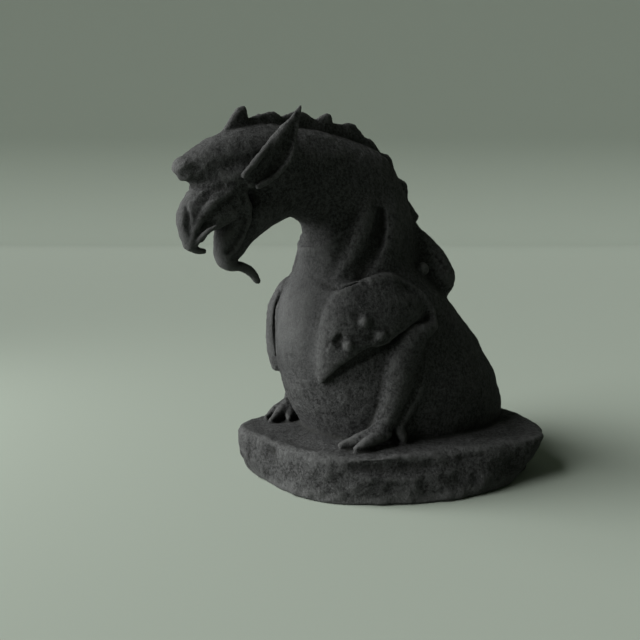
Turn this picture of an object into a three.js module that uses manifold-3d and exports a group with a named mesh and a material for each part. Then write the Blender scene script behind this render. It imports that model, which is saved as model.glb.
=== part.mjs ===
// A carved stone gargoyle: a hunched, long-necked beast with a hooked beak, a lolling tongue, tall
// pointed ears and a saw-toothed crest, sitting on an oval slab of rough rock. Figure and rock are one
// piece of stone, so the model is one solid. Millimetres, +Z up. The origin is the middle of the
// rock's flat underside. The beast faces -Y, and its own left side is +X.
import * as THREE from 'three';
import { mergeVertices } from 'three/addons/utils/BufferGeometryUtils.js';
import Module from 'manifold-3d';

// Driving dimensions
const ROCK_HEIGHT = 62;
const ROCK_TOP_ROUND = 9;
const ROCK_FOOT_ROUND = 4;
const ROCK_SIDE_LEVELS = [0.3, 0.55]; // heights of the side's middle rings, as shares of the rock
const PLAN_STEPS = 8;
const BODY_FOOT = 40; // the body's sections start inside the rock
const CREST_ROOT_HALF = 6;
const CREST_TIP_HALF = 3;
const SHIN_LEAN = 0.4;
const WING_LEAN = 0.22; // radians inward at the top

const STONE_COLOUR = 0x3f3f3d;
const STONE_ROUGHNESS = 0.95;

const ACROSS = [1, 0, 0];

const wasm = await Module();
wasm.setup();

// Solids and joins

function solidFrom(geometry) {
  geometry.deleteAttribute('normal');
  geometry.deleteAttribute('uv');
  const merged = mergeVertices(geometry);
  return new wasm.Manifold(new wasm.Mesh({
    numProp: 3,
    vertProperties: merged.attributes.position.array,
    triVerts: new Uint32Array(merged.index.array),
  }));
}

function geometryFrom(solid) {
  const mesh = solid.getMesh();
  const geometry = new THREE.BufferGeometry();
  geometry.setAttribute('position', new THREE.BufferAttribute(mesh.vertProperties, 3));
  geometry.setIndex(new THREE.BufferAttribute(mesh.triVerts, 1));
  return geometry;
}

function smoothCurve(points) {
  return new THREE.CatmullRomCurve3(points, false, 'catmullrom', 0.5);
}

// A limb is a sphere drawn out along a curve. Each station is a point on the curve, then the half
// width toward `across` and the half thickness square to it, and both ends are rounded off.
function limb(stations, { across = ACROSS, sides = 12, rows = 8 } = {}) {
  const spine = smoothCurve(stations.map(([x, y, z]) => new THREE.Vector3(x, y, z)));
  const girth = smoothCurve(stations.map((s) => new THREE.Vector3(s[3], s[4], 0)));
  const capRows = sides > 8 ? 2 : 1;
  const geometry = new THREE.SphereGeometry(1, sides, rows + 2 * capRows);
  const position = geometry.attributes.position;
  const hint = new THREE.Vector3(...across);
  for (let i = 0; i < position.count; i += 1) {
    const row = Math.floor(i / (sides + 1));
    const turn = ((i % (sides + 1)) % sides) / sides * 2 * Math.PI;
    const along = Math.min(Math.max((row - capRows) / rows, 0), 1);
    const past = Math.max(capRows - row, row - capRows - rows, 0) / capRows;
    const tangent = spine.getTangent(along);
    const side = hint.clone().addScaledVector(tangent, -hint.dot(tangent)).normalize();
    const up = new THREE.Vector3().crossVectors(tangent, side);
    const size = girth.getPoint(along);
    const reach = Math.min(size.x, size.y) * Math.sin(past * Math.PI / 2) * (along < 0.5 ? -1 : 1);
    const scale = Math.cos(past * Math.PI / 2);
    const point = spine.getPoint(along)
      .addScaledVector(tangent, reach)
      .addScaledVector(side, -Math.cos(turn) * size.x * scale)
      .addScaledVector(up, Math.sin(turn) * size.y * scale);
    position.setXYZ(i, point.x, point.y, point.z);
  }
  return solidFrom(geometry);
}

function mirrored(stations) {
  return stations.map(([x, ...rest]) => [-x, ...rest]);
}

// The same limb on both sides of the beast
function pair(stations, options = {}) {
  const [ax, ay, az] = options.across ?? ACROSS;
  return [
    limb(stations, options),
    limb(mirrored(stations), { ...options, across: [-ax, ay, az] }),
  ];
}

function knob([x, y, z, radius]) {
  return limb([[x, y, z - radius / 2, radius, radius], [x, y, z + radius / 2, radius, radius]], {
    sides: 6, rows: 1,
  });
}

function joined(solids) {
  return wasm.Manifold.union(solids);
}

// The rock: an uneven oval slab with a broken side, wider at mid height on the beast's right and
// undercut below the rim at the left rear. Each entry is a plan angle in degrees, then the radius
// at the rim, at mid height and at the foot.
const ROCK_PLAN = [
  [-160, 182, 185, 176], [-140, 178, 188, 184], [-127, 203, 206, 197], [-114, 217, 215, 202],
  [-98, 202, 204, 198], [-85, 200, 203, 200], [-72, 200, 205, 204], [-60, 202, 205, 203],
  [-43, 196, 197, 191], [-30, 184, 190, 191], [-14, 177, 188, 191], [2, 191, 195, 195],
  [15, 206, 207, 202], [28, 236, 224, 203], [40, 233, 227, 213], [57, 222, 216, 205],
  [75, 216, 212, 202], [92, 222, 217, 206], [110, 218, 213, 202], [132, 207, 203, 194],
  [155, 194, 191, 182], [178, 186, 184, 175],
];
const ROCK_SEGMENTS = 52;
const HALF_ARC = 1 - Math.SQRT1_2;

function planRadius(column) {
  const ring = new THREE.CatmullRomCurve3(
    ROCK_PLAN.map((entry) => {
      const angle = THREE.MathUtils.degToRad(entry[0]);
      return new THREE.Vector3(entry[column] * Math.cos(angle), entry[column] * Math.sin(angle), 0);
    }),
    true, 'catmullrom', 0.5,
  );
  const points = ring.getPoints(ROCK_PLAN.length * PLAN_STEPS);
  return (angle) => {
    const aimed = points.reduce((best, point) => {
      const gap = Math.abs(Math.atan2(Math.sin(angle - Math.atan2(point.y, point.x)),
        Math.cos(angle - Math.atan2(point.y, point.x))));
      return gap < best.gap ? { gap, point } : best;
    }, { gap: Infinity, point: points[0] });
    return Math.hypot(aimed.point.x, aimed.point.y);
  };
}

// Groove broken into the side under the rim, on the beast's left
const LEDGE = [
  [150, -150, 36, 8, 8], [170, -95, 44, 8, 8], [186, -40, 50, 7, 7],
  [200, 10, 54, 6, 6], [212, 50, 57, 4, 4], [226, 84, 58, 3, 3],
];

function rock() {
  const rim = planRadius(1);
  const middle = planRadius(2);
  const foot = planRadius(3);
  // Inset from the side and height, from the middle of the underside to the middle of the top
  const profile = [
    [Infinity, 0], [ROCK_FOOT_ROUND, 0], [0, ROCK_FOOT_ROUND],
    ...ROCK_SIDE_LEVELS.map((share) => [0, ROCK_HEIGHT * share]),
    [0, ROCK_HEIGHT - ROCK_TOP_ROUND],
    [ROCK_TOP_ROUND * HALF_ARC, ROCK_HEIGHT - ROCK_TOP_ROUND * HALF_ARC],
    [ROCK_TOP_ROUND, ROCK_HEIGHT], [Infinity, ROCK_HEIGHT],
  ];
  const outline = profile.map(([inset, height]) => new THREE.Vector2(inset === Infinity ? 0 : 1, height));
  const geometry = new THREE.LatheGeometry(outline, ROCK_SEGMENTS);
  geometry.rotateX(Math.PI / 2);
  const position = geometry.attributes.position;
  for (let i = 0; i < position.count; i += 1) {
    const [inset, height] = profile[i % profile.length];
    const step = Math.floor(i / profile.length) % ROCK_SEGMENTS;
    const angle = step / ROCK_SEGMENTS * 2 * Math.PI;
    const rise = height / ROCK_HEIGHT;
    const side = rim(angle) * (2 * rise - 1) * rise + middle(angle) * 4 * rise * (1 - rise)
      + foot(angle) * (1 - rise) * (1 - 2 * rise);
    const radius = inset === Infinity ? 0 : side - inset;
    position.setXYZ(i, radius * Math.cos(angle), radius * Math.sin(angle), height);
  }
  const slab = solidFrom(geometry);
  return slab.subtract(limb(LEDGE, { sides: 6, rows: 7 }));
}

// The body: level oval sections stacked up a leaning line, broad at the seat and drawn in at the
// shoulders. Each entry is the middle's Y, the height, the half width and the half depth.
const BODY = [
  [44, BODY_FOOT, 131, 168], [44, ROCK_HEIGHT, 132, 170], [39, 80, 135, 175], [30, 100, 134, 179],
  [18, 130, 131, 179], [5, 160, 124, 173], [-7, 190, 115, 166], [-23, 220, 107, 150],
  [-37, 250, 98, 129], [-45, 275, 86, 107], [-48, 300, 74, 91], [-49, 322, 63, 86],
];
const BODY_SEGMENTS = 30;

function body() {
  const outline = [
    new THREE.Vector2(0, BODY[0][1]),
    ...BODY.map((section) => new THREE.Vector2(1, section[1])),
    new THREE.Vector2(0, BODY.at(-1)[1]),
  ];
  const sections = [BODY[0], ...BODY, BODY.at(-1)];
  const geometry = new THREE.LatheGeometry(outline, BODY_SEGMENTS);
  geometry.rotateX(Math.PI / 2);
  const position = geometry.attributes.position;
  for (let i = 0; i < position.count; i += 1) {
    const level = i % outline.length;
    const [middle, height, halfWidth, halfDepth] = sections[level];
    const reach = outline[level].x;
    const angle = (Math.floor(i / outline.length) % BODY_SEGMENTS) / BODY_SEGMENTS * 2 * Math.PI;
    const x = reach * halfWidth * Math.cos(angle);
    const y = middle + reach * halfDepth * Math.sin(angle);
    position.setXYZ(i, x, y, height);
  }
  return solidFrom(geometry);
}

// The neck rises from the shoulders and arches forward. Its throat is flat in front, and a fold and a
// roll of hide hang down each side with a groove cut in between them.
const NECK = [
  [0, -42, 290, 62, 92], [0, -48, 325, 61, 94], [0, -53, 352, 57, 94], [0, -68, 385, 54, 85],
  [0, -109, 408, 50, 66], [0, -160, 420, 46, 57], [0, -210, 424, 43, 50],
];
const THROAT_LEFT = [
  [22, -98, 362, 17, 17], [24, -109, 334, 22, 22], [25, -113, 304, 24, 24], [25, -106, 282, 22, 22],
];
const THROAT_RIGHT = [
  [-14, -98, 352, 17, 17], [-16, -105, 330, 21, 21], [-16, -107, 302, 22, 22], [-16, -101, 282, 22, 22],
];
const NECK_ROLL = [
  [44, -38, 376, 12, 14], [54, -44, 345, 15, 19], [60, -60, 312, 14, 18], [58, -78, 286, 9, 10],
];
const NECK_FOLD = [
  [50, -80, 372, 9, 9], [53, -86, 352, 12, 13], [55, -100, 322, 10, 12],
  [52, -114, 296, 8, 9], [48, -124, 276, 5, 6],
];
const NECK_GROOVE = [
  [57, -58, 370, 4, 6], [63, -66, 345, 6, 10], [69, -83, 315, 6, 11], [68, -101, 290, 5, 9],
  [64, -112, 276, 3, 4],
];

function neck() {
  const column = joined([
    limb(NECK, { sides: 22, rows: 10 }),
    limb(THROAT_LEFT, { sides: 8, rows: 3 }),
    limb(THROAT_RIGHT, { sides: 8, rows: 3 }),
    ...pair(NECK_ROLL, { sides: 8, rows: 4 }),
    ...pair(NECK_FOLD, { sides: 6, rows: 5 }),
  ]);
  return column.subtract(joined(pair(NECK_GROOVE, { sides: 6, rows: 5 })));
}

// The crest: a thin fin down the middle of the head and neck with nine blunt teeth that lean back.
// Each entry is a notch, then the front and the back of the tooth's tip behind it, as Y and Z.
const CREST_TEETH = [
  [[-269, 462], [-247, 492], [-237, 496]], [[-232, 481], [-201, 494], [-193, 494]],
  [[-181, 489], [-159, 499], [-149, 499]], [[-125, 491], [-107, 500], [-101, 498]],
  [[-97, 488], [-66, 492], [-57, 490]], [[-39, 475], [-28, 472], [-22, 467]],
  [[-8, 454], [4, 453], [10, 448]], [[26, 422], [41, 416], [46, 411]], [[48, 390], [68, 372], [73, 365]],
];
const CREST_ROOT = [
  [52, 336], [20, 340], [5, 380], [-28, 420], [-80, 450], [-140, 460], [-200, 456], [-258, 444],
];

function crest() {
  const edge = CREST_TEETH.flat();
  const shape = new THREE.Shape([...edge, ...CREST_ROOT].map(([y, z]) => new THREE.Vector2(y, z)));
  const geometry = new THREE.ExtrudeGeometry(shape, { depth: 2, bevelEnabled: false });
  const position = geometry.attributes.position;
  const tips = new Set(CREST_TEETH.flatMap(([, front, back]) => [front[0], back[0]]));
  for (let i = 0; i < position.count; i += 1) {
    const y = position.getX(i);
    const z = position.getY(i);
    const half = tips.has(Math.round(y)) ? CREST_TIP_HALF : CREST_ROOT_HALF;
    position.setXYZ(i, (position.getZ(i) - 1) * half, y, z);
  }
  return solidFrom(geometry);
}

// The head: a long drooping brow lobe with a blunt tip, and below it the face with its hooked beak,
// ridged cheek flaps, the webs of the mouth's corners and the dropped lower jaw
const BROW_LOBE = [
  [0, -205, 428, 44, 46], [0, -240, 428, 45, 40], [0, -270, 425, 42, 35],
  [0, -292, 421, 36, 28], [0, -308, 418, 29, 21], [0, -320, 416, 21, 15],
];
const BROW_EDGE = [
  [12, -292, 405, 9, 10], [28, -284, 405, 11, 12], [37, -268, 406, 11, 13], [40, -242, 411, 11, 15],
];
const BEAK = [
  [0, -276, 390, 27, 21], [0, -297, 376, 23, 20], [0, -311, 358, 18, 19],
  [0, -315, 343, 14, 14], [0, -315, 329, 9, 9],
];
const BEAK_HOOK = [[0, -314, 324, 7, 6], [0, -305, 319, 6, 4], [0, -297, 318, 4, 3]];
const CHEEK = [
  [9, -307, 334, 5, 6], [12, -303, 346, 7, 9], [18, -292, 358, 8, 14], [25, -277, 371, 9, 17],
];
const FACE = [[6, -302, 387, 10, 12], [19, -294, 388, 12, 12], [30, -282, 392, 9, 9]];
const CHEEK_RIDGE = [
  [40, -269, 396, 3.5, 3.5], [38, -277, 391, 4, 4], [34, -286, 385, 4.5, 5], [28, -298, 376, 4.5, 5],
  [22, -307, 363, 4, 5], [17, -313, 350, 4, 5], [11, -317, 333, 3, 4],
];
const MOUTH_WEB = [[33, -268, 396, 8, 10], [32, -263, 382, 8, 11], [27, -254, 370, 7, 9]];
const JAW = [
  [0, -195, 393, 38, 37], [0, -225, 362, 29, 25], [0, -245, 341, 21, 20],
  [0, -257, 320, 16, 15], [0, -261, 307, 11, 9],
];
const NOSTRIL = [
  [11, -328, 368, 2, 2], [15, -327, 361, 3, 5], [15, -328, 350, 3, 4], [12, -325, 339, 2, 3],
];
const EYE = [
  [25, -309, 384, 1.5, 2], [29, -303, 387, 3.5, 2.5], [32, -297, 389, 2, 2],
];

function head() {
  const skull = joined([
    limb(BROW_LOBE, { sides: 18, rows: 7 }),
    ...pair(BROW_EDGE, { sides: 8, rows: 4 }),
    limb(BEAK, { sides: 12, rows: 6 }),
    limb(BEAK_HOOK, { sides: 6, rows: 3 }),
    ...pair(FACE, { sides: 6, rows: 3 }),
    ...pair(CHEEK, { sides: 7, rows: 4 }),
    ...pair(CHEEK_RIDGE, { sides: 4, rows: 6 }),
    ...pair(MOUTH_WEB, { sides: 6, rows: 3 }),
    limb(JAW, { sides: 12, rows: 5 }),
  ]);
  const cuts = joined([
    ...pair(NOSTRIL, { sides: 5, rows: 3 }),
    ...pair(EYE, { sides: 5, rows: 3 }),
  ]);
  return skull.subtract(cuts);
}

// The mouth: the tongue lolls over the jaw's tip and its own tip curls back under the chin, between
// the jaw's swollen edges and two thin lips
const TONGUE = [
  [0, -238, 386, 12, 10], [0, -249, 368, 13, 10], [0, -257, 350, 13, 10], [0, -264, 332, 14, 10],
  [0, -269, 312, 14, 9], [0, -262, 300, 11, 7], [0, -244, 298, 8, 6], [0, -229, 290, 7, 5.5],
  [0, -220, 279, 4, 4],
];
const JAW_EDGE = [
  [27, -258, 371, 4, 4], [23, -256, 361, 7, 7], [16, -260, 348, 10, 10], [10, -265, 334, 11, 11],
  [6, -268, 320, 10, 10], [4, -267, 308, 8, 8],
];
const LIP = [
  [29, -251, 372, 3, 3], [27, -250, 357, 3.5, 3.5], [23, -253, 342, 3.5, 3.5],
  [19, -260, 327, 3.5, 3.5], [13, -267, 313, 3, 3],
];

function mouth() {
  return joined([
    limb(TONGUE, { sides: 8, rows: 10 }),
    ...pair(JAW_EDGE, { sides: 6, rows: 4 }),
    ...pair(LIP, { sides: 5, rows: 5 }),
  ]);
}

// The ears: a tall hollow leaf on each side, with a thick front rim and a bowed back rim
const EAR_LEAF = [
  [46, -262, 401, 11, 4], [52, -236, 416, 15, 4], [56, -219, 440, 16, 4],
  [52, -200, 470, 9, 3.5], [47, -186, 494, 2, 3],
];
const EAR_FRONT_RIM = [
  [55, -272, 406, 4, 4], [55, -250, 430, 4, 4], [52, -229.5, 450, 4, 4],
  [50, -205, 474, 3.5, 3.5], [47, -185, 495, 2.5, 2.5],
];
const EAR_BACK_RIM = [
  [54, -253, 394, 3.5, 3.5], [58, -230, 408, 3.5, 3.5], [61, -211, 428, 3.5, 3.5],
  [57, -202, 450, 3.2, 3.2], [53, -195, 471, 3, 3], [47, -185, 494, 2.5, 2.5],
];
const EAR_PLANE = [0, 0.78, -0.626];

function ears() {
  return joined([
    ...pair(EAR_LEAF, { across: EAR_PLANE, sides: 7, rows: 5 }),
    ...pair(EAR_FRONT_RIM, { sides: 4, rows: 6 }),
    ...pair(EAR_BACK_RIM, { sides: 4, rows: 7 }),
  ]);
}

// The folded wings: a broad flap at each flank that merges with the breast in front and tapers to a
// point, with three worn knobs, and a blunt stub with one knob behind each shoulder
const WING = [
  [97, -21, 242, 16, 10], [98, -48, 239, 28, 14], [91, -89, 240, 45, 18],
  [79, -125, 224, 41, 17], [68, -147, 187, 21, 12], [54, -155, 152, 7, 7],
];
const WING_KNOBS = [[98, -122, 228, 8], [87, -140, 198, 8], [107, -103, 210, 7]];
const BREAST_SIDE = [
  [54, -113, 276, 17, 17], [61, -127, 250, 23, 21], [61, -139, 218, 21, 19], [55, -148, 186, 14, 14],
  [46, -151, 160, 7, 7],
];
const STUB = [
  [26, 32, 342, 13, 13], [34, 46, 317, 24, 22], [41, 59, 292, 30, 27],
  [43, 69, 268, 29, 26], [37, 76, 247, 13, 12],
];
const STUB_KNOB = [65, 16, 290, 12];

function wings() {
  const knobs = [...WING_KNOBS, STUB_KNOB];
  return joined([
    ...pair(WING, { across: [-Math.sin(WING_LEAN), 0, Math.cos(WING_LEAN)], sides: 12, rows: 8 }),
    ...pair(BREAST_SIDE, { sides: 7, rows: 4 }),
    ...pair(STUB, { sides: 9, rows: 4 }),
    ...knobs.map(knob),
    ...mirrored(knobs).map(knob),
  ]);
}

// The legs: drawn up against the belly, each with a sinew behind the shin, three toes in front
// and a claw behind
const SHIN = [
  [110, -14, 215, 10, 10], [108, -42, 200, 19, 14], [108, -66, 168, 24, 17],
  [107, -76, 132, 20, 16], [103, -85, 100, 16, 14], [99, -94, 82, 13, 12],
];
const SINEW = [
  [116, -28, 166, 5, 6], [120, -42, 136, 5, 7], [116, -60, 108, 6, 7],
  [112, -71, 86, 7, 7], [115, -67, 68, 6, 6],
];
const TOES = [
  [[100, -94, 80, 11, 11], [92, -120, 73, 9, 9], [81, -146, 66, 4, 4]],
  [[104, -92, 78, 11, 11], [106, -118, 72, 9, 9], [103, -140, 66, 4, 4]],
  [[95, -94, 78, 10, 10], [83, -111, 70, 8, 8], [71, -122, 66, 4, 4]],
];

function legs() {
  return joined([
    ...pair(SHIN, { across: [0, 1, SHIN_LEAN], sides: 10, rows: 6 }),
    ...pair(SINEW, { sides: 5, rows: 5 }),
    ...TOES.flatMap((toe) => pair(toe, { sides: 6, rows: 2 })),
  ]);
}

// One piece of stone: what overlapping forms close in between them is filled
const forms = [rock(), body(), neck(), crest(), head(), mouth(), ears(), wings(), legs()];
const shells = joined(forms).decompose();
const figure = shells.reduce((largest, shell) => (shell.volume() > largest.volume() ? shell : largest));
const gargoyle = new THREE.Mesh(
  geometryFrom(figure),
  new THREE.MeshStandardMaterial({ color: STONE_COLOUR, roughness: STONE_ROUGHNESS, metalness: 0 }),
);
gargoyle.name = 'gargoyle';

const part = new THREE.Group();
part.add(gargoyle);

export default part;
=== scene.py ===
# A stone gargoyle: a hunched, long-necked beast with a hooked beak, a lolling tongue, tall hollow
# ears and a saw-toothed crest, carved with the slab it sits on from one block of dark sandstone.
# The block is a field of distances in millimetres. Each form is added to it or cut from it, and
# the surface is then drawn off as one mesh, weathered, and given its stone.
import math

import bpy
import numpy as np
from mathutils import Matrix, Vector, kdtree


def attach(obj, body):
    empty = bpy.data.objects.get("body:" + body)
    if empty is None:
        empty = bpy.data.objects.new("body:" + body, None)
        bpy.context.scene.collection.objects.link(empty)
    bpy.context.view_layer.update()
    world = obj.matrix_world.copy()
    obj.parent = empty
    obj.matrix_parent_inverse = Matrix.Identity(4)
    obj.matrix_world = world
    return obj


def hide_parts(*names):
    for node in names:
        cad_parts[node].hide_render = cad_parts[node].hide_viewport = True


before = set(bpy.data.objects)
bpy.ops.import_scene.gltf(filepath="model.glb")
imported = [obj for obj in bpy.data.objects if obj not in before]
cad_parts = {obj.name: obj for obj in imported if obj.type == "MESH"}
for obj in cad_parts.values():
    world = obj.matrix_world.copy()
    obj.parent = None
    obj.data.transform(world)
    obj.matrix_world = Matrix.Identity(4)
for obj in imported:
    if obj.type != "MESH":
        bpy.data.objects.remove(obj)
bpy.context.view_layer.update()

# The rock
# An uneven oval slab of the same stone, left rough. Its rim overhangs, a ledge has broken away
# along the beast's left, and its flat underside stands on the ground.
POINT_GAP = 2.0
BLOCK_LOW = np.array([-240.0, -356.0, -8.0])
BLOCK_HIGH = np.array([248.0, 250.0, 516.0])
FAR_OUT = 60.0

point_counts = np.ceil((BLOCK_HIGH - BLOCK_LOW) / POINT_GAP).astype(int) + 1
point_lines = [
    (BLOCK_LOW[axis] + POINT_GAP * np.arange(point_counts[axis])).astype(np.float32) for axis in range(3)
]
block = np.full(point_counts, FAR_OUT, np.float32)


def soft_least(first, second, crease):
    """The smaller of two distances, with the corner between them rounded over a width of crease."""
    share = np.clip(0.5 + 0.5 * (second - first) / crease, 0, 1)
    return second + (first - second) * share - crease * share * (1 - share)


def carve(form, crease, cut=False):
    """Adds a form to the block, or cuts it away, with a rounded crease where they meet."""
    low, high, distance = form
    reach = 2.5 * POINT_GAP + 1.5 * crease + 4
    start = np.maximum(np.floor((low - reach - BLOCK_LOW) / POINT_GAP), 0).astype(int)
    stop = np.minimum(np.ceil((high + reach - BLOCK_LOW) / POINT_GAP) + 1, point_counts).astype(int)
    window = tuple(slice(a, b) for a, b in zip(start, stop))
    lines = [line[part] for line, part in zip(point_lines, window)]
    depth = distance(np.stack(np.meshgrid(*lines, indexing="ij"), -1))
    if cut:
        block[window] = -soft_least(-block[window], depth, crease)
    else:
        block[window] = soft_least(block[window], depth, crease)


def smooth_line(stations, steps=6):
    """A smooth curve through the stations, every number of each carried along it."""
    given = np.asarray(stations, float)
    if len(given) < 3:
        return given[0] + (given[-1] - given[0]) * np.linspace(0, 1, steps + 1)[:, None]
    held = np.vstack([2 * given[0] - given[1], given, 2 * given[-1] - given[-2]])
    t = np.linspace(0, 1, steps, endpoint=False)[:, None]
    pieces = [
        0.5 * (2 * b + (c - a) * t + (2 * a - 5 * b + 4 * c - d) * t**2 + (3 * b - a - 3 * c + d) * t**3)
        for a, b, c, d in zip(held, held[1:], held[2:], held[3:])
    ]
    return np.vstack([*pieces, given[-1:]])


def limb(stations, across=(1, 0, 0)):
    """A rounded form along a curve. Each station is a point, then the half width toward `across`
    and the half thickness square to it."""
    line = smooth_line(stations)
    spine = line[:, :3].astype(np.float32)
    wide, thick = np.maximum(line[:, 3:5], 0.4).astype(np.float32).T
    run = np.diff(spine, axis=0)
    length = np.linalg.norm(run, axis=1)
    along = run / length[:, None]
    side = np.float32(across) - (along @ np.float32(across))[:, None] * along
    side /= np.linalg.norm(side, axis=1)[:, None]
    normal = np.cross(along, side)
    caps = min(wide[0], thick[0]), min(wide[-1], thick[-1])
    reach = line[:, 3:5].max()

    def distance(points):
        flat = points.reshape(-1, 3)
        nearest = np.full(len(flat), 1e18, np.float32)
        which = np.zeros(len(flat), np.int32)
        share = np.zeros(len(flat), np.float32)
        for i in range(len(run)):
            away = flat - spine[i]
            t = np.clip(away @ (run[i] / length[i] ** 2), 0, 1)
            away -= t[:, None] * run[i]
            gap = np.einsum("ij,ij->i", away, away)
            closer = gap < nearest
            nearest[closer] = gap[closer]
            which[closer] = i
            share[closer] = t[closer]
        away = flat - spine[which] - share[:, None] * run[which]
        half_width = wide[which] * (1 - share) + wide[which + 1] * share
        half_thickness = thick[which] * (1 - share) + thick[which + 1] * share
        cap = np.where(which < len(run) / 2, caps[0], caps[1])
        ended = ((which == 0) & (share <= 0)) | ((which == len(run) - 1) & (share >= 1))
        a = np.einsum("ij,ij->i", away, side[which])
        b = np.einsum("ij,ij->i", away, normal[which])
        c = np.where(ended, np.einsum("ij,ij->i", away, along[which]), 0)
        near = np.sqrt((a / half_width) ** 2 + (b / half_thickness) ** 2 + (c / cap) ** 2)
        slope = np.sqrt((a / half_width**2) ** 2 + (b / half_thickness**2) ** 2 + (c / cap**2) ** 2)
        return (near * (near - 1) / np.maximum(slope, 1e-6)).reshape(points.shape[:-1])

    return spine.min(0) - reach, spine.max(0) + reach, distance


ROCK_HEIGHT = 62
ROCK_TOP_ROUND = 9
ROCK_FOOT_ROUND = 5
# Angle round the slab in degrees, then the radius at the rim, at mid height and at the foot
ROCK_PLAN = np.array([
    [-160, 182, 185, 176], [-140, 178, 188, 184], [-127, 203, 206, 197], [-114, 217, 215, 202],
    [-98, 202, 204, 198], [-85, 200, 203, 200], [-72, 200, 205, 204], [-60, 202, 205, 203],
    [-43, 196, 197, 191], [-30, 184, 190, 191], [-14, 177, 188, 191], [2, 191, 195, 195],
    [15, 206, 207, 202], [28, 236, 224, 203], [40, 233, 227, 213], [57, 222, 216, 205],
    [75, 216, 212, 202], [92, 222, 217, 206], [110, 218, 213, 202], [132, 207, 203, 194],
    [155, 194, 191, 182], [178, 186, 184, 175],
], float)


def rock_form():
    """The slab: radii blended from rim to foot, with rounded edges above and below."""
    turns = np.vstack([ROCK_PLAN - [360, 0, 0, 0], ROCK_PLAN, ROCK_PLAN + [360, 0, 0, 0]])
    ring = smooth_line(turns)
    ring = ring[np.argsort(ring[:, 0])]
    angles = np.radians(ring[:, 0])

    def distance(points):
        x, y, z = np.moveaxis(points, -1, 0)
        turn = np.arctan2(y, x)
        rise = np.clip(z / ROCK_HEIGHT, 0, 1)
        rim, middle, foot = [np.interp(turn, angles, ring[:, i]) for i in (1, 2, 3)]
        side = rim * (2 * rise - 1) * rise + middle * 4 * rise * (1 - rise)
        side = side + foot * (1 - rise) * (1 - 2 * rise)
        rounding = np.where(rise < 0.5, ROCK_FOOT_ROUND, ROCK_TOP_ROUND)
        out = np.hypot(x, y) - side + rounding
        over = np.maximum(z - ROCK_HEIGHT, -z) + rounding
        corner = np.hypot(np.maximum(out, 0), np.maximum(over, 0))
        return corner + np.minimum(np.maximum(out, over), 0) - rounding

    reach = ROCK_PLAN[:, 1:].max()
    return np.array([-reach, -reach, 0]), np.array([reach, reach, ROCK_HEIGHT]), distance


# The broken ledge, the crack behind it, hollows under the rim, and the dips worn in the top
ROCK_LEDGE = [
    [150, -150, 36, 8, 8], [170, -95, 44, 8, 8], [186, -40, 50, 7, 7],
    [200, 10, 54, 6, 6], [212, 50, 57, 4, 4], [226, 84, 58, 3, 3],
]
ROCK_CRACK = [[176, -66, 54, 2, 3], [184, -40, 51, 3, 4], [190, -8, 55, 3, 4], [200, 24, 57, 2, 3]]
RIM_HOLLOWS = [
    [[124, -158, 50, 3, 4], [141, -137, 48, 5, 7], [158, -104, 49, 6, 9], [170, -70, 51, 3, 5]],
    [[-20, -210, 40, 3, 4], [20, -212, 36, 4, 6], [60, -203, 40, 3, 4]],
    [[-196, -60, 40, 3, 4], [-195, -20, 34, 5, 7], [-194, 30, 42, 3, 4]],
    [[-100, 186, 44, 3, 4], [-50, 210, 40, 5, 6], [10, 220, 46, 3, 4]],
    [[196, 120, 28, 4, 5], [160, 158, 22, 6, 8], [110, 190, 30, 3, 4]],
]
TOP_DIPS = [
    [[10, -172, 68, 8, 6], [50, -166, 68, 14, 7], [80, -158, 68, 8, 6]],
    [[150, 40, 67, 10, 7], [172, 92, 67, 16, 8], [150, 130, 67, 10, 7]],
    [[-150, -40, 67, 10, 7], [-158, 20, 68, 16, 8], [-150, 80, 67, 10, 6]],
]
carve(rock_form(), 1)
carve(limb(ROCK_LEDGE), 6, cut=True)
carve(limb(ROCK_CRACK), 3, cut=True)
for hollow in RIM_HOLLOWS:
    carve(limb(hollow), 9, cut=True)
for dip in TOP_DIPS:
    carve(limb(dip), 8, cut=True)

# The body
# A pear-shaped trunk in the same stone, broad at the seat and drawn in at the shoulders, its
# breast rubbed smoother than its flanks. Level sections give the middle's Y, the height, the
# half width and the half depth.
BODY = [
    [44, 40, 131, 168], [44, 62, 132, 170], [39, 80, 135, 175], [30, 100, 134, 179],
    [18, 130, 131, 179], [5, 160, 124, 173], [-7, 190, 115, 166], [-23, 220, 107, 150],
    [-37, 250, 98, 129], [-45, 275, 86, 107], [-48, 300, 74, 91], [-49, 322, 63, 86],
]
BELLY_CRACKS = [
    [[-9, -172, 174, 1, 2], [2, -172, 177, 1.4, 2.2], [15, -171, 174, 1, 2]],
    [[-6, -172, 172, 1, 2], [-7, -170, 160, 1.2, 2]],
]
HEART_OF_FORM = 0.2
HEART_DEPTH = 0.8


def trunk_form(sections):
    """Level oval sections stacked up a leaning line. Near the line itself, in the heart of the
    form, the depth is taken as a share of the smaller half measure."""
    line = smooth_line(sections)
    low_end, high_end = line[0, 1], line[-1, 1]

    def distance(points):
        x, y, z = np.moveaxis(points, -1, 0)
        level = np.clip(z, low_end, high_end)
        middle, half_width, half_depth = [np.interp(level, line[:, 1], line[:, i]) for i in (0, 2, 3)]
        y = y - middle
        near = np.sqrt((x / half_width) ** 2 + (y / half_depth) ** 2)
        slope = np.sqrt((x / half_width**2) ** 2 + (y / half_depth**2) ** 2)
        inside = near * (near - 1) / np.maximum(slope, 1e-6)
        heart = -HEART_DEPTH * np.minimum(half_width, half_depth)
        inside = np.where(near < HEART_OF_FORM, heart, inside)
        past = np.maximum(low_end - z, z - high_end)
        return np.where(past > 0, np.hypot(np.maximum(inside, 0), past), np.maximum(inside, past))

    wide, deep = line[:, 2].max(), line[:, 3].max()
    low = np.array([-wide, line[:, 0].min() - deep, low_end])
    return low, np.array([wide, line[:, 0].max() + deep, high_end]), distance


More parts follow.
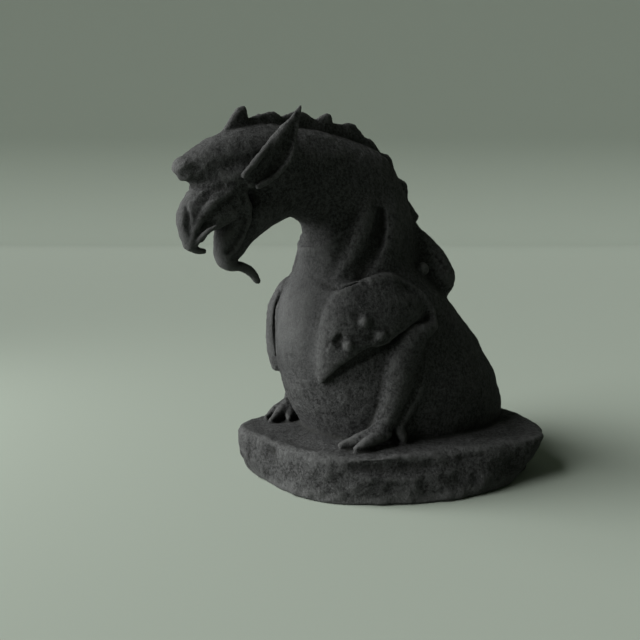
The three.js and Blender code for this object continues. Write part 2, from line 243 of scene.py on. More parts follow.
carve(trunk_form(BODY), 5)
for crack in BELLY_CRACKS:
    carve(limb(crack), 1.5, cut=True)

# The neck
# Thick and arched forward over the breast, with a loose fold and a roll of hide down each side,
# cut in deeply behind. Its column has level sections like the body's, and carries the limb above.
NECK = [
    [0, -42, 290, 62, 92], [0, -48, 325, 61, 94], [0, -53, 352, 57, 94], [0, -68, 385, 54, 85],
    [0, -109, 408, 50, 66], [0, -160, 420, 46, 57], [0, -210, 424, 43, 50],
]
NECK_COLUMN = [
    [-42, 290, 63, 91], [-48, 325, 60, 90], [-51, 345, 58, 85], [-56, 365, 55, 77], [-62, 385, 51, 67],
]
THROAT = [
    [[22, -98, 362, 17, 17], [24, -109, 334, 22, 22], [25, -113, 304, 24, 24], [25, -106, 282, 22, 22]],
    [[-14, -98, 352, 17, 17], [-16, -105, 330, 21, 21], [-16, -107, 302, 22, 22], [-16, -101, 282, 22, 22]],
]
NECK_ROLL = [
    [44, -38, 376, 12, 14], [54, -44, 345, 15, 19], [60, -60, 312, 14, 18], [58, -78, 286, 9, 10],
]
NECK_FOLD = [
    [50, -80, 372, 9, 9], [53, -86, 352, 12, 13], [55, -100, 322, 10, 12],
    [52, -114, 296, 8, 9], [48, -124, 276, 5, 6],
]
NECK_GROOVE = [
    [57, -58, 370, 4, 6], [63, -66, 345, 6, 10], [69, -83, 315, 6, 11],
    [68, -101, 290, 5, 9], [64, -112, 276, 3, 4],
]


def both_sides(stations):
    """The stations as given, on the beast's left, and mirrored to its right."""
    given = np.asarray(stations, float)
    turned = given * ([-1] + [1] * (given.shape[1] - 1))
    return given, turned


carve(trunk_form(NECK_COLUMN), 8)
carve(limb(NECK), 14)
for part in THROAT:
    carve(limb(part), 9)
for part in both_sides(NECK_ROLL):
    carve(limb(part), 18)
for part in both_sides(NECK_FOLD):
    carve(limb(part), 9)
for part in both_sides(NECK_GROOVE):
    carve(limb(part), 6, cut=True)

# The head
# A long brow that droops like a hood over the face, flat beneath. Under it come the hooked beak,
# with a ridged cheek laid along each side, and the dropped lower jaw, joined by a web of skin.
BROW_LOBE = [
    [0, -205, 428, 44, 46], [0, -240, 428, 45, 40], [0, -270, 425, 42, 35],
    [0, -292, 421, 36, 28], [0, -308, 418, 29, 21], [0, -320, 416, 21, 15],
]
BROW_EDGE = [
    [12, -292, 405, 9, 10], [28, -284, 405, 11, 12], [37, -268, 406, 11, 13], [40, -242, 411, 11, 15],
]
BROW_NOTCH = [
    [2, -335, 402, 3, 4], [11, -330, 405, 4, 5], [19, -324, 411, 3, 5], [26, -315, 419, 2, 3],
]
BEAK = [
    [0, -276, 390, 27, 21], [0, -297, 376, 23, 20], [0, -311, 358, 18, 19],
    [0, -315, 343, 14, 14], [0, -315, 329, 9, 9],
]
BEAK_RIM = [
    [31, -297, 348, 2, 2], [24, -305, 341, 2.5, 2.5], [15, -311, 332, 2.5, 2.5], [8, -312, 325, 2, 2],
]
BEAK_HOOK = [[0, -314, 324, 7, 6], [0, -305, 319, 6, 4], [0, -297, 318, 4, 3]]
CHEEK = [
    [9, -307, 334, 5, 6], [12, -303, 346, 7, 9], [18, -292, 358, 8, 14], [25, -277, 371, 9, 17],
]
FACE = [[6, -302, 387, 10, 12], [19, -294, 388, 12, 12], [30, -282, 392, 9, 9]]
MOUTH_WEB = [[33, -268, 396, 8, 10], [32, -263, 382, 8, 11], [27, -254, 370, 7, 9]]
BROW_UNDERCUT = [
    [-4, -311, 396, 2, 3], [8, -311, 393, 2.5, 4], [20, -306, 392, 2.5, 4],
    [29, -298, 392, 2.5, 4], [36, -289, 394, 2, 3],
]
CHEEK_RIDGE = [
    [41, -268, 396, 3, 3], [38, -277, 391, 3.5, 3.5], [33, -286, 384, 4, 4.5], [27, -297, 375, 5, 5.5],
    [20, -306, 362, 4.5, 5.5], [15, -312, 349, 4, 5], [10, -316, 334, 3.5, 4], [6, -317, 324, 3, 3],
]
NOSTRIL = [
    [9, -324, 369, 2, 3], [12, -325, 361, 3, 6], [12, -325, 351, 3, 5], [11, -323, 340, 2, 3],
]
EYE = [
    [20, -307, 383, 1.5, 2], [25, -303, 386, 2.5, 3], [30, -297, 389, 2, 2],
]
EYELID = [
    [18, -308, 387, 1, 1.5], [24, -304, 390, 1.5, 2], [31, -296, 392, 1.5, 1.5],
]
MOUTH_LINE = [
    [15, -310, 346, 1.5, 2], [20, -304, 351, 2.5, 3.5], [25, -296, 353, 2, 3],
]
MOUTH_CORNER = [
    [40, -266, 385, 2, 2.5], [40, -264, 380, 3.5, 4.5], [38, -262, 374, 2, 2.5],
]
JAW = [
    [0, -195, 393, 38, 37], [0, -225, 362, 29, 25], [0, -245, 341, 21, 20],
    [0, -257, 320, 16, 15], [0, -261, 307, 11, 9],
]
carve(limb(BROW_LOBE), 12)
for part in both_sides(BROW_EDGE):
    carve(limb(part), 9)
carve(limb(BEAK), 8)
carve(limb(BEAK_HOOK), 3)
for part in both_sides(FACE):
    carve(limb(part), 5)
for part in both_sides(CHEEK):
    carve(limb(part), 5)
for part in both_sides(MOUTH_WEB):
    carve(limb(part), 9)
for part in both_sides(CHEEK_RIDGE):
    carve(limb(part), 2.5)
for part in both_sides(BEAK_RIM):
    carve(limb(part), 2)
carve(limb(JAW), 10)
for part in both_sides(BROW_NOTCH):
    carve(limb(part), 5, cut=True)
for part in both_sides(EYELID):
    carve(limb(part), 2)
for groove in (BROW_UNDERCUT, NOSTRIL, EYE, MOUTH_LINE, MOUTH_CORNER):
    for part in both_sides(groove):
        carve(limb(part), 2, cut=True)

# The mouth
# The tongue lolls over the tip of the jaw and its own tip curls back under the chin. The jaw's
# edge swells beside it, and a thin lip stands along each side with a groove before it.
TONGUE = [
    [0, -238, 386, 12, 10], [0, -249, 368, 13, 10], [0, -257, 350, 13, 10], [0, -264, 332, 14, 10],
    [0, -269, 312, 14, 9], [0, -262, 300, 11, 7], [0, -244, 298, 8, 6], [0, -229, 290, 7, 5.5],
    [0, -220, 279, 4, 4],
]
JAW_EDGE = [
    [27, -258, 371, 4, 4], [23, -256, 361, 7, 7], [16, -260, 348, 10, 10], [10, -265, 334, 11, 11],
    [6, -268, 320, 10, 10], [4, -267, 308, 8, 8],
]
LIP = [
    [29, -251, 372, 3, 3], [27, -250, 357, 3.5, 3.5], [23, -253, 342, 3.5, 3.5],
    [19, -260, 327, 3.5, 3.5], [13, -267, 313, 3, 3],
]
LIP_GROOVE = [
    [31, -258, 368, 1, 2], [28, -257, 355, 1.5, 3], [24, -260, 341, 1.5, 3], [19, -267, 326, 1.5, 3],
    [13, -273, 315, 1, 2],
]
carve(limb(TONGUE), 3)
for part in both_sides(JAW_EDGE):
    carve(limb(part), 7)
for part in both_sides(LIP):
    carve(limb(part), 2)
for part in both_sides(LIP_GROOVE):
    carve(limb(part), 2, cut=True)

# The ears
# A tall pointed leaf on each side of the head, hollowed in front, with a thick rim along its
# front edge and a bowed one behind.
EAR_LEAF = [
    [46, -262, 401, 11, 4], [52, -236, 416, 15, 4], [56, -219, 440, 16, 4],
    [52, -200, 470, 9, 3.5], [47, -186, 494, 2, 3],
]
EAR_FRONT_RIM = [
    [55, -272, 406, 4, 4], [55, -250, 430, 4, 4], [52, -229.5, 450, 4, 4],
    [50, -205, 474, 3.5, 3.5], [47, -185, 495, 2.5, 2.5],
]
EAR_BACK_RIM = [
    [54, -253, 394, 3.5, 3.5], [58, -230, 408, 3.5, 3.5], [61, -211, 428, 3.5, 3.5],
    [57, -202, 450, 3.2, 3.2], [53, -195, 471, 3, 3], [47, -185, 494, 2.5, 2.5],
]
EAR_HOLLOW = [
    [56, -258, 404, 4, 4], [64, -236, 417, 11, 11], [68, -218, 441, 12, 11],
    [63, -199, 468, 6, 9], [54, -190, 486, 1, 3],
]
EAR_PLANE = (0, 0.78, -0.626)
for part in both_sides(EAR_LEAF):
    carve(limb(part, EAR_PLANE), 3)
for part in both_sides(EAR_HOLLOW):
    carve(limb(part, EAR_PLANE), 3, cut=True)
for rim in (EAR_FRONT_RIM, EAR_BACK_RIM):
    for part in both_sides(rim):
        carve(limb(part), 2)

# The crest
# A thin fin down the middle of the head and neck, chipped into nine worn teeth that lean back.
# Each entry is a tooth, as Y and Z: the notch before it, then its blunt tip's front and back.
CREST_TEETH = [
    [[-269, 462], [-247, 492], [-237, 496]], [[-232, 481], [-201, 494], [-193, 494]],
    [[-181, 489], [-159, 499], [-149, 499]], [[-125, 491], [-107, 500], [-101, 498]],
    [[-97, 488], [-66, 492], [-57, 490]], [[-39, 475], [-28, 472], [-22, 467]],
    [[-8, 454], [4, 453], [10, 448]], [[26, 422], [41, 416], [46, 411]],
    [[48, 390], [68, 372], [73, 365]],
]
CREST_ROOT = [
    [52, 336], [20, 340], [5, 380], [-28, 420], [-80, 450], [-140, 460], [-200, 456], [-258, 444],
]
CREST_HALF = 5.0
CREST_THINNING = 1.5
CREST_BEVEL = 12
CREST_EDGE_ROUND = 3.0


def crest_form():
    """The fin's outline in the middle plane, given a thickness that thins toward its edge."""
    outline = np.array([point for tooth in CREST_TEETH for point in tooth] + CREST_ROOT, float)

    def distance(points):
        x, y, z = np.moveaxis(points, -1, 0)
        gap = np.full(y.shape, 1e9)
        inside = np.zeros(y.shape, bool)
        for (y0, z0), (y1, z1) in zip(outline, np.roll(outline, -1, 0)):
            run = (y1 - y0) ** 2 + (z1 - z0) ** 2
            t = np.clip(((y - y0) * (y1 - y0) + (z - z0) * (z1 - z0)) / run, 0, 1)
            gap = np.minimum(gap, np.hypot(y - y0 - t * (y1 - y0), z - z0 - t * (z1 - z0)))
            if z0 != z1:
                inside ^= ((z0 > z) != (z1 > z)) & (y < (y1 - y0) * (z - z0) / (z1 - z0) + y0)
        gap = np.where(inside, -gap, gap)
        half = CREST_HALF - CREST_THINNING * np.clip(1 + gap / CREST_BEVEL, 0, 1)
        out = gap + CREST_EDGE_ROUND
        over = np.abs(x) - half + CREST_EDGE_ROUND
        corner = np.hypot(np.maximum(out, 0), np.maximum(over, 0))
        return corner + np.minimum(np.maximum(out, over), 0) - CREST_EDGE_ROUND

    low, high = outline.min(0), outline.max(0)
    return np.array([-CREST_HALF, *low]), np.array([CREST_HALF, *high]), distance


carve(crest_form(), 4)

# The wings
# A broad folded flap down each flank, tapering forward to a point, with three worn knobs that
# each have a pit beside them, and a blunt stub behind the shoulder. The breast swells out to
# meet the wings.
WING = [
    [97, -21, 242, 16, 10], [98, -48, 239, 28, 14], [91, -89, 240, 45, 18],
    [79, -125, 224, 41, 17], [68, -147, 187, 21, 12], [54, -155, 152, 7, 7],
]
WING_LEAN = 0.22
# Two creases, each cut on one side only. The first parts the right wing from the breast, and the
# second runs round the foot of the neck to the left shoulder.
FAR_CREASE = [
    [-55, -144, 262, 1.5, 2], [-55, -148, 250, 2, 3], [-55, -153, 232, 2, 3.5],
    [-52, -157, 211, 2, 3.5], [-48, -160, 190, 2, 3], [-45, -158, 168, 1.5, 2],
]
COLLAR_CREASE = [
    [-8, -147, 291, 1, 1.5], [8, -147, 288, 2, 2.5], [28, -146, 279, 2.5, 4], [42, -141, 272, 3, 4.5],
    [55, -136, 269, 3, 4.5], [67, -132, 269, 3, 4], [76, -112, 274, 3, 3],
]
WING_KNOBS = [[98, -122, 228, 8], [87, -140, 198, 8], [107, -103, 210, 7]]
WING_PITS = [
    [[95, -133, 243, 4, 4], [96, -134, 238, 7, 8], [97, -131, 232, 4, 4]],
    [[82, -150, 208, 4, 4], [83, -152, 203, 7, 7], [83, -150, 198, 4, 4]],
    [[107, -114, 211, 3, 3], [106, -115, 206, 6, 6], [105, -114, 201, 3, 3]],
]
WING_RIDGE = [
    [84, -100, 278, 6, 6], [86, -72, 280, 9, 8], [88, -46, 271, 7, 7],
    [97, -22, 256, 6, 7], [108, -8, 232, 5, 6], [114, -14, 216, 3, 4],
]
BREAST_SIDE = [
    [54, -110, 270, 10, 10], [60, -125, 250, 20, 19], [61, -138, 218, 21, 19],
    [55, -148, 186, 14, 14], [46, -151, 160, 7, 7],
]
STUB = [
    [26, 32, 342, 13, 13], [34, 46, 317, 24, 22], [41, 59, 292, 30, 27],
    [43, 69, 268, 29, 26], [37, 76, 247, 13, 12],
]
STUB_KNOB = [67, 13, 290, 10]
STUB_PIT = [
    [56, -2, 300, 3, 4], [58, 0, 292, 5, 7], [58, 0, 283, 3, 4],
]
STUB_SCRATCH = [[62, 40, 312, 0.8, 1], [66, 48, 304, 1, 1.5], [69, 54, 295, 0.8, 1]]


def knob(place):
    """A worn round knob."""
    x, y, z, radius = place
    middle = np.array([x, y, z], float)

    def distance(points):
        return np.linalg.norm(points - middle, axis=-1) - radius

    return middle - radius, middle + radius, distance


for part in both_sides(STUB):
    carve(limb(part), 14)
for turned, part in zip((1, -1), both_sides(WING)):
    carve(limb(part, (-math.sin(WING_LEAN) * turned, 0, math.cos(WING_LEAN))), 4)
for part in both_sides(BREAST_SIDE):
    carve(limb(part), 14)
for crease in (FAR_CREASE, COLLAR_CREASE):
    carve(limb(crease), 3, cut=True)
for part in both_sides(WING_RIDGE):
    carve(limb(part), 7)
for pit in [*WING_PITS, STUB_PIT]:
    for part in both_sides(pit):
        carve(limb(part), 4, cut=True)
for places in both_sides([*WING_KNOBS, STUB_KNOB]):
    for place in places:
        carve(knob(place), 4)
for part in both_sides(STUB_SCRATCH):
    carve(limb(part), 1.5, cut=True)

# The legs
# Drawn up against the belly: a heavy shin with a sinew behind it that ends in one claw, and three
# toes spread on the rock in front. A hollow undercuts the wing from the knee forward.
KNEE_HOLLOW = [
    [114, -26, 226, 3, 3], [110, -46, 216, 5, 6], [104, -70, 204, 5, 6], [98, -92, 193, 4, 5],
    [88, -118, 180, 4, 5], [70, -141, 163, 4, 5], [56, -152, 147, 2, 3],
]
SHIN = [
    [110, -14, 215, 10, 10], [108, -42, 200, 19, 14], [108, -66, 168, 24, 17],
    [107, -76, 132, 20, 16], [103, -85, 100, 16, 14], [99, -94, 82, 13, 12],
]
SHIN_LEAN = (0, 1, 0.4)
SINEW = [
    [116, -28, 166, 5, 6], [120, -42, 136, 5, 7], [116, -60, 108, 6, 7],
    [112, -71, 86, 7, 7], [115, -67, 68, 6, 6],
]
TOES = [
    [[100, -94, 80, 11, 11], [92, -120, 73, 9, 9], [81, -146, 66, 4, 4]],
    [[104, -92, 78, 11, 11], [106, -118, 72, 9, 9], [103, -140, 66, 4, 4]],
    [[95, -94, 78, 10, 10], [83, -111, 70, 8, 8], [71, -122, 66, 4, 4]],
]
for part in both_sides(KNEE_HOLLOW):
    carve(limb(part), 5, cut=True)
for part in both_sides(SHIN):
    carve(limb(part, SHIN_LEAN), 6)
for toe in TOES:
    for part in both_sides(toe):
        carve(limb(part), 3)
for part in both_sides(SINEW):
    carve(limb(part), 4)

# The stone's surface
# The whole figure drawn off the block as one closed mesh, then worn as old carved sandstone is:
# slow unevenness from the chisel, a coarse grain, and scattered pits.
MM = 0.001
TRIANGLE_LIMIT = 190000
UNDERSIDE_DEPTH = 3.0
UNDERSIDE_SLOPE = -0.5
RESTING_DEPTH = 1.0


def draw_surface():
    """Corners in millimetres and four-sided faces on the block's zero level."""
    inside = block < 0
    counts = np.array(block.shape) - 1
    steps = [(i, j, k) for i in (0, 1) for j in (0, 1) for k in (0, 1)]
    total = np.zeros(counts, np.int8)
    for i, j, k in steps:
        total += inside[i:counts[0] + i, j:counts[1] + j, k:counts[2] + k]
    cells = np.argwhere((total > 0) & (total < 8))
    number = np.full(counts, -1, np.int32)
    number[tuple(cells.T)] = np.arange(len(cells))
    corner = {step: block[tuple((cells + step).T)] for step in steps}
    place = np.zeros((len(cells), 3))
    crossings = np.zeros(len(cells))
    for step in steps:
        for axis in range(3):
            if step[axis]:
                continue
            far = tuple(1 if i == axis else step[i] for i in range(3))
            here, there = corner[step], corner[far]
            crossed = (here < 0) != (there < 0)
            share = here[crossed] / (here[crossed] - there[crossed])
            for i in range(3):
                place[crossed, i] += share if i == axis else step[i]
            crossings[crossed] += 1
    corners = BLOCK_LOW + POINT_GAP * (cells + place / crossings[:, None])
    faces = []
    for axis in range(3):
        second, third = (axis + 1) % 3, (axis + 2) % 3
        near = [slice(1, -1)] * 3
        far = [slice(1, -1)] * 3
        near[axis] = slice(0, -1)
        far[axis] = slice(1, None)
        near, far = inside[tuple(near)], inside[tuple(far)]
        edges = np.argwhere(near != far)
        leaving = near[tuple(edges.T)]
        edges[:, second] += 1
        edges[:, third] += 1

        def cell(back_second, back_third):
            around = edges.copy()
            around[:, second] -= back_second
            around[:, third] -= back_third
            return number[tuple(around.T)]

        ring = np.stack([cell(1, 1), cell(0, 1), cell(0, 0), cell(1, 0)], 1)
        ring[~leaving] = ring[~leaving][:, ::-1]
        faces.append(ring)
    return corners, np.vstack(faces)


def outward(corners, faces):
    """The surface's direction at each corner."""
    across = corners[faces[:, 2]] - corners[faces[:, 0]]
    normal = np.cross(across, corners[faces[:, -1]] - corners[faces[:, 1]])
    total = np.stack([
        sum(np.bincount(faces[:, i], normal[:, axis], len(corners)) for i in range(faces.shape[1]))
        for axis in range(3)
    ], 1)
    return total / np.maximum(np.linalg.norm(total, axis=1), 1e-9)[:, None]


def unevenness(points, size, seed):
    """Smooth random relief from -1 to 1 whose lumps are about `size` across."""
    spots = points / size
    start = np.floor(spots.min(0)).astype(int)
    cell = np.floor(spots).astype(int) - start
    heights = np.random.default_rng(seed).uniform(-1, 1, cell.max(0) + 2)
    t = spots - np.floor(spots)
    t = t * t * (3 - 2 * t)
    total = np.zeros(len(points))
    for i, j, k in [(a, b, c) for a in (0, 1) for b in (0, 1) for c in (0, 1)]:
        weight = abs(1 - i - t[:, 0]) * abs(1 - j - t[:, 1]) * abs(1 - k - t[:, 2])
        total += weight * heights[cell[:, 0] + i, cell[:, 1] + j, cell[:, 2] + k]
    return total


# The rubbed patch: how far forward it starts, its level, its reach up and down and to each side,
# and how wide each of its edges fades
POLISH_FRONT = 100
POLISH_LEVEL = 240
POLISH_REACH = 120
POLISH_HALF_WIDTH = 81
POLISH_FADES = (50, 60, 45)


def breast_polish(points):
    """How much the stone is rubbed smooth, from 0 to 1: most on the breast and the throat."""
    x, y, z = points.T
    forward = np.clip((-y - POLISH_FRONT) / POLISH_FADES[0], 0, 1)
    level = np.clip((POLISH_REACH - np.abs(z - POLISH_LEVEL)) / POLISH_FADES[1], 0, 1)
    central = np.clip((POLISH_HALF_WIDTH - np.abs(x)) / POLISH_FADES[2], 0, 1)
    return forward * level * central


ROCK_FADE_TOP = 64
ROCK_FADE = 6
corners, faces = draw_surface()
normals = outward(corners, faces)
on_rock = np.clip((ROCK_FADE_TOP - corners[:, 2]) / ROCK_FADE, 0, 1)
rock_side = on_rock * np.clip(1 - np.abs(normals[:, 2]), 0, 1)
polish = breast_polish(corners)

# Lump size, then its height on the figure and on the rock. Polish takes some of it away, and the
# rock's top has less of it than the rock's side.
RELIEF = [(60, 1.6, 4.5), (26, 1.1, 3.6), (12, 0.7, 1.8), (5.5, 0.6, 0.8)]
POLISHED_AWAY = 0.6
ROCK_TOP_SHARE = 0.35
figure_share = (1 - POLISHED_AWAY * polish) * (1 - on_rock)
rock_share = ROCK_TOP_SHARE * on_rock + (1 - ROCK_TOP_SHARE) * rock_side
lift = np.zeros(len(corners))
for seed, (size, on_figure, on_slab) in enumerate(RELIEF):
    lift += (on_figure * figure_share + on_slab * rock_share) * unevenness(corners, size, seed)

# Pits: how many, the smallest and largest radius, and depth as a share of the radius
PIT_COUNT = 900
PIT_RADII = (1.2, 3.2)
PIT_DEPTH = 0.35
PIT_POLISHED_AWAY = 0.7
draw = np.random.default_rng(11)
tree = kdtree.KDTree(len(corners))
for i, corner_place in enumerate(corners):
    tree.insert(corner_place, i)
tree.balance()
for index in draw.choice(len(corners), PIT_COUNT, replace=False):
    radius = PIT_RADII[0] + (PIT_RADII[1] - PIT_RADII[0]) * draw.random() ** 3
    worn = 1 - PIT_POLISHED_AWAY * polish[index]
    for _, i, gap in tree.find_range(corners[index], radius):
        lift[i] -= PIT_DEPTH * radius * worn * (1 - (gap / radius) ** 2)

underneath = (corners[:, 2] < UNDERSIDE_DEPTH) & (normals[:, 2] < UNDERSIDE_SLOPE)
lift[underneath] = 0
corners += normals * lift[:, None]
corners[:, 2] = np.maximum(corners[:, 2], 0)
corners[corners[:, 2] < RESTING_DEPTH, 2] = 0

stone_mesh = bpy.data.meshes.new("gargoyle_stone")
stone_mesh.from_pydata((corners * MM).tolist(), [], faces.tolist())
stone_mesh.validate()
gargoyle = bpy.data.objects.new("gargoyle_stone", stone_mesh)
bpy.context.scene.collection.objects.link(gargoyle)

thinning = gargoyle.modifiers.new("thinning", "DECIMATE")
thinning.ratio = min(1.0, TRIANGLE_LIMIT / (2 * len(faces)))
thinning.use_collapse_triangulate = True
thinned = bpy.data.meshes.new_from_object(gargoyle.evaluated_get(bpy.context.evaluated_depsgraph_get()))
gargoyle.modifiers.clear()
gargoyle.data = thinned
bpy.data.meshes.remove(stone_mesh)
thinned.name = "gargoyle_stone"
thinned.shade_smooth()


def hollowness(mesh, rounds):
    """How far each corner lies below its surroundings, in millimetres."""
    place = np.zeros(len(mesh.vertices) * 3)
    mesh.vertices.foreach_get("co", place)
    place = place.reshape(-1, 3) / MM
    pairs = np.zeros(len(mesh.edges) * 2, int)
    mesh.edges.foreach_get("vertices", pairs)
    a, b = pairs.reshape(-1, 2).T
    normal = np.zeros(len(place) * 3)
    mesh.vertices.foreach_get("normal", normal)
    neighbours = np.bincount(a, minlength=len(place)) + np.bincount(b, minlength=len(place))
    eased = place.copy()
    for _ in range(rounds):
        total = np.stack([
            np.bincount(a, eased[b, i], len(place)) + np.bincount(b, eased[a, i], len(place))
            for i in range(3)
        ], 1)
        eased = total / np.maximum(neighbours, 1)[:, None]
    return np.einsum("ij,ij->i", eased - place, normal.reshape(-1, 3))


# Painted shade and painted light: the stone's colour is darkened toward a shadow tone where the
# surface lies low, in hollows and creases, and paled toward a lit tone where it stands proud.
# The breast and the front of the neck are rubbed smooth all over.
NEAR_ROUNDS = 6
WIDE_ROUNDS = 40
NEAR_FULL = 2.0
WIDE_FULL = 12.0
lowness = hollowness(thinned, NEAR_ROUNDS) / NEAR_FULL + hollowness(thinned, WIDE_ROUNDS) / WIDE_FULL
painted_relief_shading = thinned.attributes.new("painted_relief_shading", "FLOAT", "POINT")
painted_relief_shading.data.foreach_set("value", np.clip(lowness, -1, 1).astype(np.float32))
mesh_places = np.zeros(len(thinned.vertices) * 3)
thinned.vertices.foreach_get("co", mesh_places)
smoothed = thinned.attributes.new("smoothed", "FLOAT", "POINT")
smoothed.data.foreach_set("value", breast_polish(mesh_places.reshape(-1, 3) / MM).astype(np.float32))

# The sandstone
# Dark sandstone, weathered out of doors: dull charcoal grey with no gloss at all. Slow tone
# changes of 70 mm, faint lichen bloom at 18 mm, and sand grains, which are really 0.5 mm and are
# drawn at 3 and 4 mm so that they show.
stone = bpy.data.materials.new("dark_weathered_sandstone")
stone.use_nodes = True
nodes, links = stone.node_tree.nodes, stone.node_tree.links
nodes.clear()


def linear(code):
    """An sRGB hex colour as the linear colour that a shader takes."""
    channels = [int(code[i:i + 2], 16) / 255 for i in (1, 3, 5)]
    return [*(c / 12.92 if c <= 0.04045 else ((c + 0.055) / 1.055) ** 2.4 for c in channels), 1]


def node(kind, settings=(), stops=(), **inputs):
    """A shader node with its settings and any colour stops, and each input set or linked."""
    made = nodes.new(kind)
    for name, value in dict(settings).items():
        setattr(made, name, value)
    if stops:
        band = made.color_ramp
        while len(band.elements) < len(stops):
            band.elements.new(0.5)
        for element, (place, colour) in zip(band.elements, stops):
            element.position = place
            element.color = linear(colour)
    for name, value in inputs.items():
        socket = made.inputs[int(name[1:])] if name[1:].isdigit() else made.inputs[name.replace("_", " ")]
        if isinstance(value, bpy.types.NodeSocket):
            links.new(value, socket)
        else:
            socket.default_value = value
    return made


def per_metre(millimetres):
    """The texture scale that gives a pattern of that size."""
    return 1 / (millimetres * MM)


where = node("ShaderNodeTexCoord").outputs["Object"]
slow = node(
    "ShaderNodeTexNoise", Vector=where, Scale=per_metre(70), Detail=3.0, Roughness=0.5,
).outputs["Fac"]
bloom = node(
    "ShaderNodeTexNoise", Vector=where, Scale=per_metre(18), Detail=5.0, Roughness=0.7,
).outputs["Fac"]
grains = node(
    "ShaderNodeTexNoise", Vector=where, Scale=per_metre(4.0), Detail=4.0, Roughness=0.85,
).outputs["Fac"]
speck_cells = node("ShaderNodeTexVoronoi", Vector=where, Scale=per_metre(3.0), Randomness=1.0)
specks = speck_cells.outputs["Distance"]
# Painted shade and light: how low or proud each corner lies, read back to darken hollows and pale proud
# places.
low_places = node("ShaderNodeAttribute", {"attribute_name": "painted_relief_shading"}).outputs["Fac"]
rubbed_smooth = node("ShaderNodeAttribute", {"attribute_name": "smoothed"}).outputs["Fac"]

MIX = {"data_type": "RGBA", "blend_type": "MIX"}
MULTIPLY = {"data_type": "RGBA", "blend_type": "MULTIPLY"}
tone = node(
    "ShaderNodeValToRGB", stops=[(0.3, "#303131"), (0.5, "#363737"), (0.7, "#3c3d3d")], Fac=slow,
).outputs["Color"]
bloom_share = node(
    "ShaderNodeValToRGB", stops=[(0.52, "#000000"), (0.74, "#5a5a5a")], Fac=bloom,
).outputs["Color"]
bloomed = node("ShaderNodeMix", MIX, _0=bloom_share, _6=tone, _7=linear("#494a4a")).outputs[2]
grain_share = node("ShaderNodeMapRange", Value=rubbed_smooth, To_Min=1.0, To_Max=0.45).outputs["Result"]
grain_tint = node(
    "ShaderNodeValToRGB", stops=[(0.4, "#4a4a48"), (0.5, "#c8c8c6"), (0.6, "#ffffff")], Fac=grains,
).outputs["Color"]
grained = node("ShaderNodeMix", MULTIPLY, _0=grain_share, _6=bloomed, _7=grain_tint).outputs[2]
pore_tint = node(
    "ShaderNodeValToRGB", stops=[(0.08, "#6a6a68"), (0.3, "#ffffff")], Fac=specks,
).outputs["Color"]
pored = node("ShaderNodeMix", MULTIPLY, _0=grain_share, _6=grained, _7=pore_tint).outputs[2]
# Painted shade: low places, hollows and creases, are mixed toward a near-black shadow tone.
painted_shade_share = node(
    "ShaderNodeMapRange", Value=low_places, From_Min=0.12, From_Max=1.0, To_Min=0.0, To_Max=0.8,
).outputs["Result"]
with_painted_shade = node("ShaderNodeMix", MIX, _0=painted_shade_share, _6=pored, _7=linear("#121310")).outputs[2]
# Painted light: proud places are mixed toward a paler, lit tone.
painted_light_share = node(
    "ShaderNodeMapRange", Value=low_places, From_Min=-0.15, From_Max=-0.9, To_Min=0.0, To_Max=0.4,
).outputs["Result"]
with_painted_light = node("ShaderNodeMix", MIX, _0=painted_light_share, _6=with_painted_shade, _7=linear("#4e4f4e")).outputs[2]
lumps = node("ShaderNodeBump", Strength=0.6, Distance=1.6 * MM, Height=bloom).outputs["Normal"]
grit = node(
    "ShaderNodeBump", Strength=1.0, Distance=2.2 * MM, Height=grains, Normal=lumps,
).outputs["Normal"]
pores = node(
    "ShaderNodeBump", Strength=0.5, Distance=0.8 * MM, Height=specks, Normal=grit,
).outputs["Normal"]
dull = node("ShaderNodeMapRange", Value=bloom, To_Min=0.88, To_Max=1.0).outputs["Result"]
shader = node("ShaderNodeBsdfPrincipled", Base_Color=with_painted_light, Roughness=dull, Normal=pores, IOR=1.5)
shader.inputs["Specular IOR Level"].default_value = 0.3
node("ShaderNodeOutputMaterial", Surface=shader.outputs["BSDF"])

thinned.materials.append(stone)
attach(gargoyle, "root")
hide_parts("gargoyle")

# The stage
# A plain pale floor that sweeps up into a plain wall far behind the figure, in metres. One broad
# light shines from the beast's right front, and a low soft one by it reaches under the chin.
CAMERA_TURN = math.radians(52)
STAGE_HALF = 45.0
SWEEP_START = 22.0
SWEEP_RADIUS = 4.0
SWEEP_STEPS = 16
WALL_TOP = 16.0
profile = [(-STAGE_HALF, 0.0), (SWEEP_START, 0.0)]
for step in range(1, SWEEP_STEPS + 1):
    turn = step / SWEEP_STEPS * math.pi / 2
    profile.append((SWEEP_START + SWEEP_RADIUS * math.sin(turn), SWEEP_RADIUS * (1 - math.cos(turn))))
profile.append((SWEEP_START + SWEEP_RADIUS, WALL_TOP))
sweep_mesh = bpy.data.meshes.new("studio_sweep")
sweep_mesh.from_pydata(
    [(side, back, height) for back, height in profile for side in (-STAGE_HALF, STAGE_HALF)],
    [],
    [(2 * i, 2 * i + 1, 2 * i + 3, 2 * i + 2) for i in range(len(profile) - 1)],
)
sweep_mesh.shade_smooth()
sweep = bpy.data.objects.new("studio_sweep", sweep_mesh)
sweep.rotation_euler = (0, 0, CAMERA_TURN)
bpy.context.scene.collection.objects.link(sweep)
paint = bpy.data.materials.new("pale_matt_paint")
paint.use_nodes = True
paint_shader = paint.node_tree.nodes["Principled BSDF"]
paint_shader.inputs["Base Color"].default_value = linear("#868e84")
paint_shader.inputs["Roughness"].default_value = 0.95
paint_shader.inputs["Specular IOR Level"].default_value = 0.1
sweep_mesh.materials.append(paint)

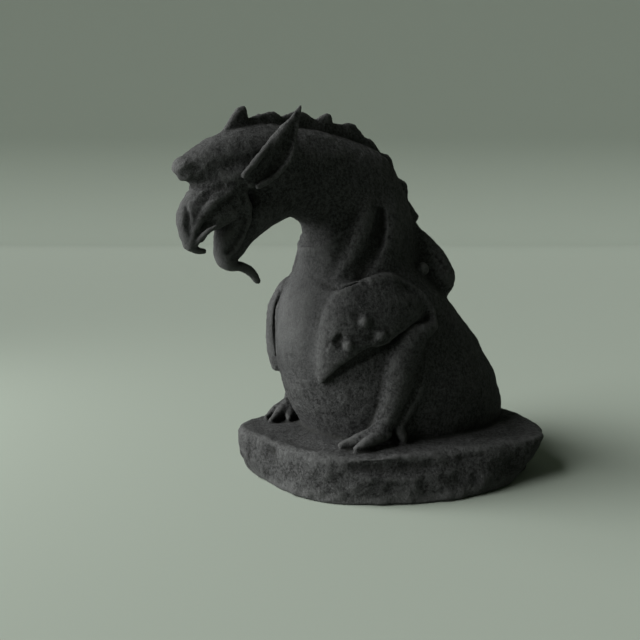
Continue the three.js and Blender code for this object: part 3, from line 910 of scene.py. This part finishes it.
room = bpy.data.worlds.new("room")
room.use_nodes = True
room.node_tree.nodes["Background"].inputs["Color"].default_value = linear("#6e7567")
room.node_tree.nodes["Background"].inputs["Strength"].default_value = 0.45
bpy.context.scene.world = room
bpy.context.scene.view_settings.view_transform = "Standard"

BROAD_LIGHT_HEADING = Vector((1.25, 2.45, -1.45))
broad_lamp = bpy.data.lights.new("broad_light", "SUN")
broad_lamp.energy = 7.4
broad_lamp.angle = math.radians(60)
broad_light = bpy.data.objects.new("broad_light", broad_lamp)
broad_light.rotation_euler = BROAD_LIGHT_HEADING.to_track_quat("-Z", "Y").to_euler()
bpy.context.scene.collection.objects.link(broad_light)

THROAT_LIGHT_PLACE = Vector((-0.90, -1.30, 0.50))
THROAT_LIGHT_AIM = Vector((0.0, -0.12, 0.28))
throat_lamp = bpy.data.lights.new("throat_light", "AREA")
throat_lamp.shape = "DISK"
throat_lamp.size = 0.8
throat_lamp.energy = 14
throat_light = bpy.data.objects.new("throat_light", throat_lamp)
throat_light.location = THROAT_LIGHT_PLACE
throat_heading = THROAT_LIGHT_AIM - THROAT_LIGHT_PLACE
throat_light.rotation_euler = throat_heading.to_track_quat("-Z", "Y").to_euler()
bpy.context.scene.collection.objects.link(throat_light)

# The camera
# It stands a metre off the beast's front left, at the height of its throat, and looks a little
# down.
CAMERA_PLACE = (0.7596, -0.7112, 0.3377)
SENSOR_WIDTH = 36
PHOTO_WIDTH_PIXELS = 640
FOCAL_PIXELS = 700
HORIZON_RISE_PIXELS = 85
CAMERA_DIP = math.atan(HORIZON_RISE_PIXELS / FOCAL_PIXELS)
lens = bpy.data.cameras.new("camera")
lens.lens = SENSOR_WIDTH * FOCAL_PIXELS / PHOTO_WIDTH_PIXELS
lens.sensor_width = SENSOR_WIDTH
camera = bpy.data.objects.new("camera", lens)
camera.location = CAMERA_PLACE
camera.rotation_euler = (math.pi / 2 - CAMERA_DIP, 0, CAMERA_TURN)
bpy.context.scene.collection.objects.link(camera)
bpy.context.scene.camera = camera
